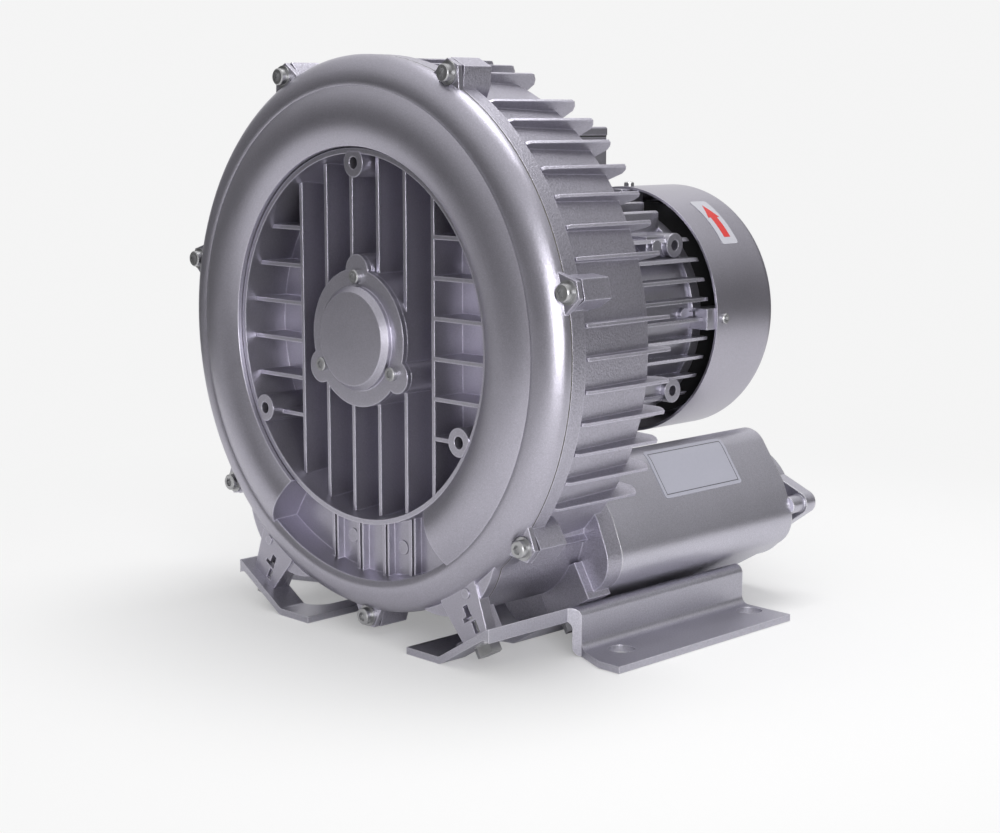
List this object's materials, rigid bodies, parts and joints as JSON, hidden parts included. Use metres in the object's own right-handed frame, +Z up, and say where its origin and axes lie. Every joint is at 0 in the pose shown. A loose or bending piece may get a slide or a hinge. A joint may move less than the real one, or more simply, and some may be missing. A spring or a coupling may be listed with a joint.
{
  "type": "side channel blower",
  "caption": "Side channel blower with a ribbed dish cover, finned cast housing, finned motor, two silencers with threaded ports and a bent base plate.",
  "frame": {"origin": "centre of the four foot holes, on the floor", "axes": "+Z up, the cover faces -Y, the motor and the ports are towards +Y, +X to the right seen from the front"},
  "size_m": [0.3302, 0.2903, 0.3305],
  "materials": {
    "cover": "satin silver paint",
    "housing": "sand cast, silver paint",
    "plate": "satin grey paint on bent sheet",
    "motor": "die cast, silver paint",
    "cowl": "satin silver paint on pressed sheet",
    "silencer": "cast, silver paint",
    "box": "die cast, silver paint",
    "zinc": "zinc plated steel",
    "steel": "ground steel",
    "aluminium": "cast, machined",
    "laminations": "stacked steel sheet",
    "copper": "varnished copper wire",
    "rubber": "black nitrile",
    "gasket": "fibre gasket",
    "foam": "open cell foam",
    "plastic": "black moulded plastic"
  },
  "bodies": {
    "machine": {"front_cover": "cover", "joint_gasket": "gasket", "rear_housing": "housing", "hub_cap": "cover", "hub_cap_screws": "zinc", "cover_screws": "zinc", "cover_washers": "zinc", "shaft_seal": "rubber", "front_bearing_outer_ring": "steel", "front_bearing_balls": "steel", "rear_bearing_outer_ring": "steel", "rear_bearing_balls": "steel", "wave_spring": "steel", "motor_housing": "motor", "motor_flange_screws": "zinc", "stator_core": "laminations", "stator_windings": "copper", "motor_end_shield": "motor", "end_shield_screws": "zinc", "fan_cowl": "cowl", "cowl_screws": "zinc", "terminal_box": "box", "terminal_gasket": "rubber", "terminal_lid": "box", "lid_screws": "zinc", "terminal_block": "plastic", "terminal_studs": "zinc", "cable_gland": "plastic", "gland_nut": "plastic", "inlet_silencer_shell": "silencer", "outlet_silencer_shell": "silencer", "inlet_silencer_foam": "foam", "outlet_silencer_foam": "foam", "inlet_port_flange": "silencer", "outlet_port_flange": "silencer", "inlet_port_screws": "zinc", "outlet_port_screws": "zinc", "base_plate": "plate", "base_bolts": "zinc", "base_washers": "zinc"},
    "rotor": {"shaft": "steel", "impeller": "aluminium", "impeller_key": "steel", "shaft_nut": "zinc", "front_bearing_inner_ring": "steel", "rear_bearing_inner_ring": "steel", "rotor_core": "laminations", "cooling_fan": "plastic", "fan_clip": "steel"}
  },
  "joints": [
    {"name": "rotor_spin", "type": "hinge", "parent": "machine", "child": "rotor", "pos_m": [0, 0, 0.1735], "axis": [0, 1, 0], "continuous": true}
  ]
}
